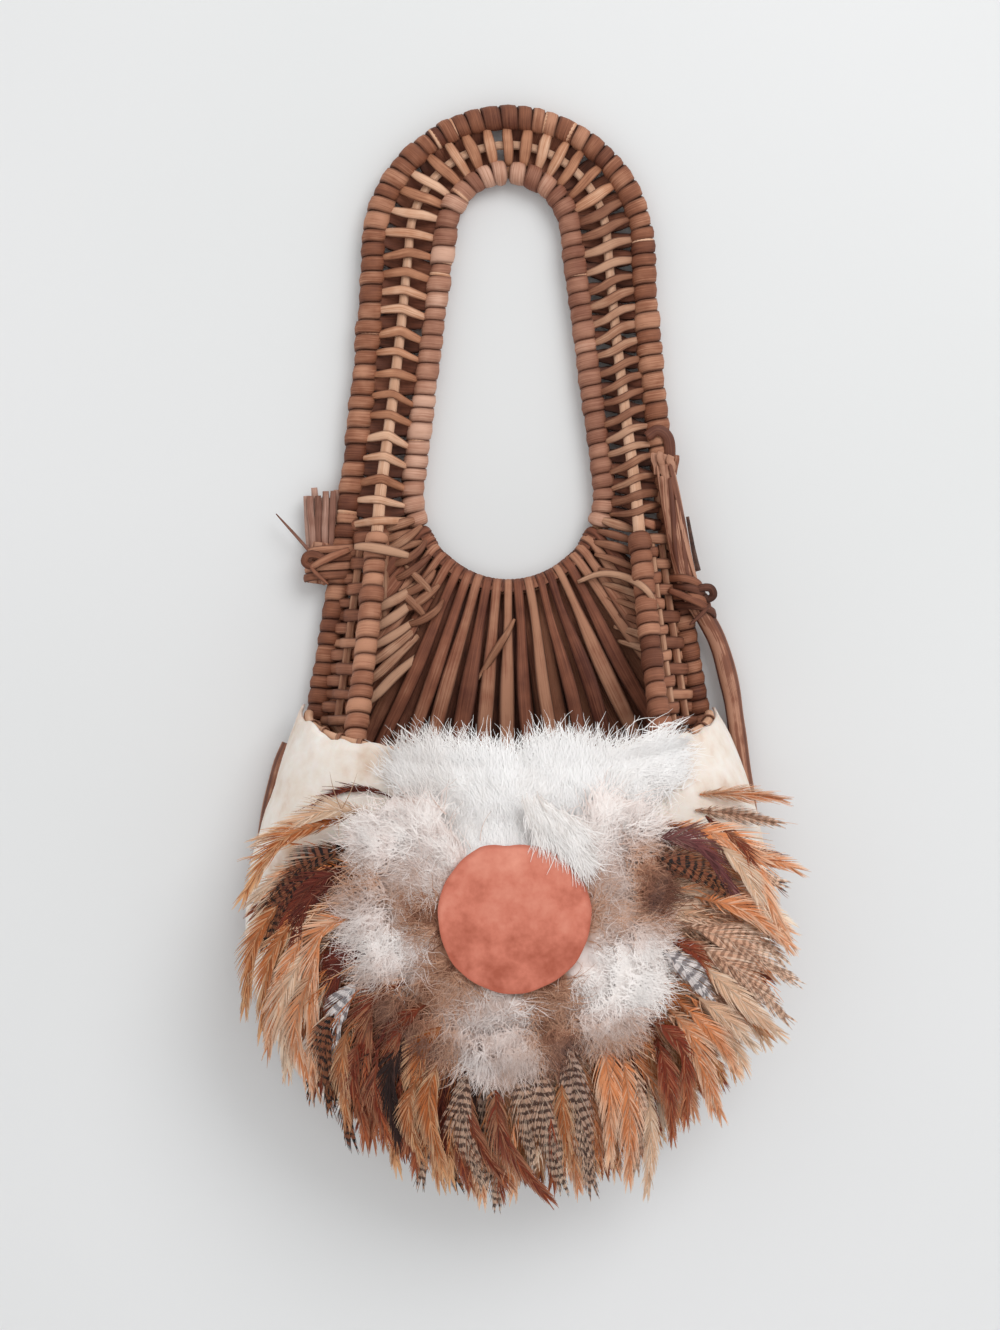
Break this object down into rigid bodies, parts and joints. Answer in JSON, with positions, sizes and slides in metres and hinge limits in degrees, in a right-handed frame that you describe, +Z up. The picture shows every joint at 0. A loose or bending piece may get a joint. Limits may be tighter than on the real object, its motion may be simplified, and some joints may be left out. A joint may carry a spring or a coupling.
{
  "type": "feathered wall basket",
  "caption": "Wall-hung pouch basket with a bark-wrapped, laced hoop handle, a fan of strips at the back and a rawhide front dressed with fur, feathers and a leather disc.",
  "frame": {"origin": "where a nail bears under the crown of the hand hole, on the plane of the wall", "axes": "+Z up, +Y into the wall, -Y out of the wall towards the viewer, +X to the viewer's right"},
  "size_m": [0.2207, 0.1048, 0.4479],
  "materials": {
    "bark_strip": "matte bark fibre",
    "light_bark_strip": "matte inner bark",
    "cane_rod": "matte cane",
    "peeled_cane": "smooth peeled cane",
    "vine": "rough striated vine",
    "rawhide": "dried cream rawhide",
    "copper_leather": "copper tanned leather",
    "rabbit_fur": "white rabbit fur",
    "hackle_feather": "rooster hackle feathers",
    "feather_down": "fluffy feather down"
  },
  "bodies": {
    "root": {"inner_rib": "cane_rod", "outer_rib": "cane_rod", "middle_rib": "peeled_cane", "outer_crown_wrap": "bark_strip", "right_outer_limb_wrap": "bark_strip", "left_outer_limb_wrap": "bark_strip", "right_inner_wrap": "bark_strip", "left_inner_wrap": "bark_strip", "right_front_rib_wrap": "bark_strip", "left_front_rib_wrap": "bark_strip", "crown_lacing": "light_bark_strip", "right_shoulder_lacing": "light_bark_strip", "left_shoulder_lacing": "light_bark_strip", "right_limb_lacing": "light_bark_strip", "left_limb_lacing": "light_bark_strip", "right_gusset_spoke": "bark_strip", "left_gusset_spoke": "bark_strip", "right_gusset_lacing": "bark_strip", "left_gusset_lacing": "bark_strip", "fan_rod": "bark_strip", "centre_fan": "bark_strip", "right_side_fan": "bark_strip", "left_side_fan": "bark_strip", "back_panel": "bark_strip", "vine_hoop": "vine", "left_vine_tail": "vine", "right_lashing": "bark_strip", "left_lashing": "bark_strip", "left_splint_1": "vine", "left_splint_2": "vine", "left_splint_3": "vine", "left_splint_4": "vine", "right_splint_1": "vine", "right_splint_2": "vine", "right_splint_3": "vine", "right_twig": "bark_strip", "woven_front": "bark_strip", "rawhide_cover": "rawhide", "rim_rod": "cane_rod", "pouch_rod_1": "cane_rod", "pouch_rod_2": "cane_rod", "pouch_rod_3": "cane_rod", "pouch_rod_4": "cane_rod", "pouch_rod_5": "cane_rod", "outer_feather_row": "hackle_feather", "middle_feather_row": "hackle_feather", "down_row": "feather_down", "leather_disc": "copper_leather", "fur_pad": "rabbit_fur", "right_rust_feather": "hackle_feather", "left_quill_feather": "hackle_feather"}
  },
  "joints": []
}
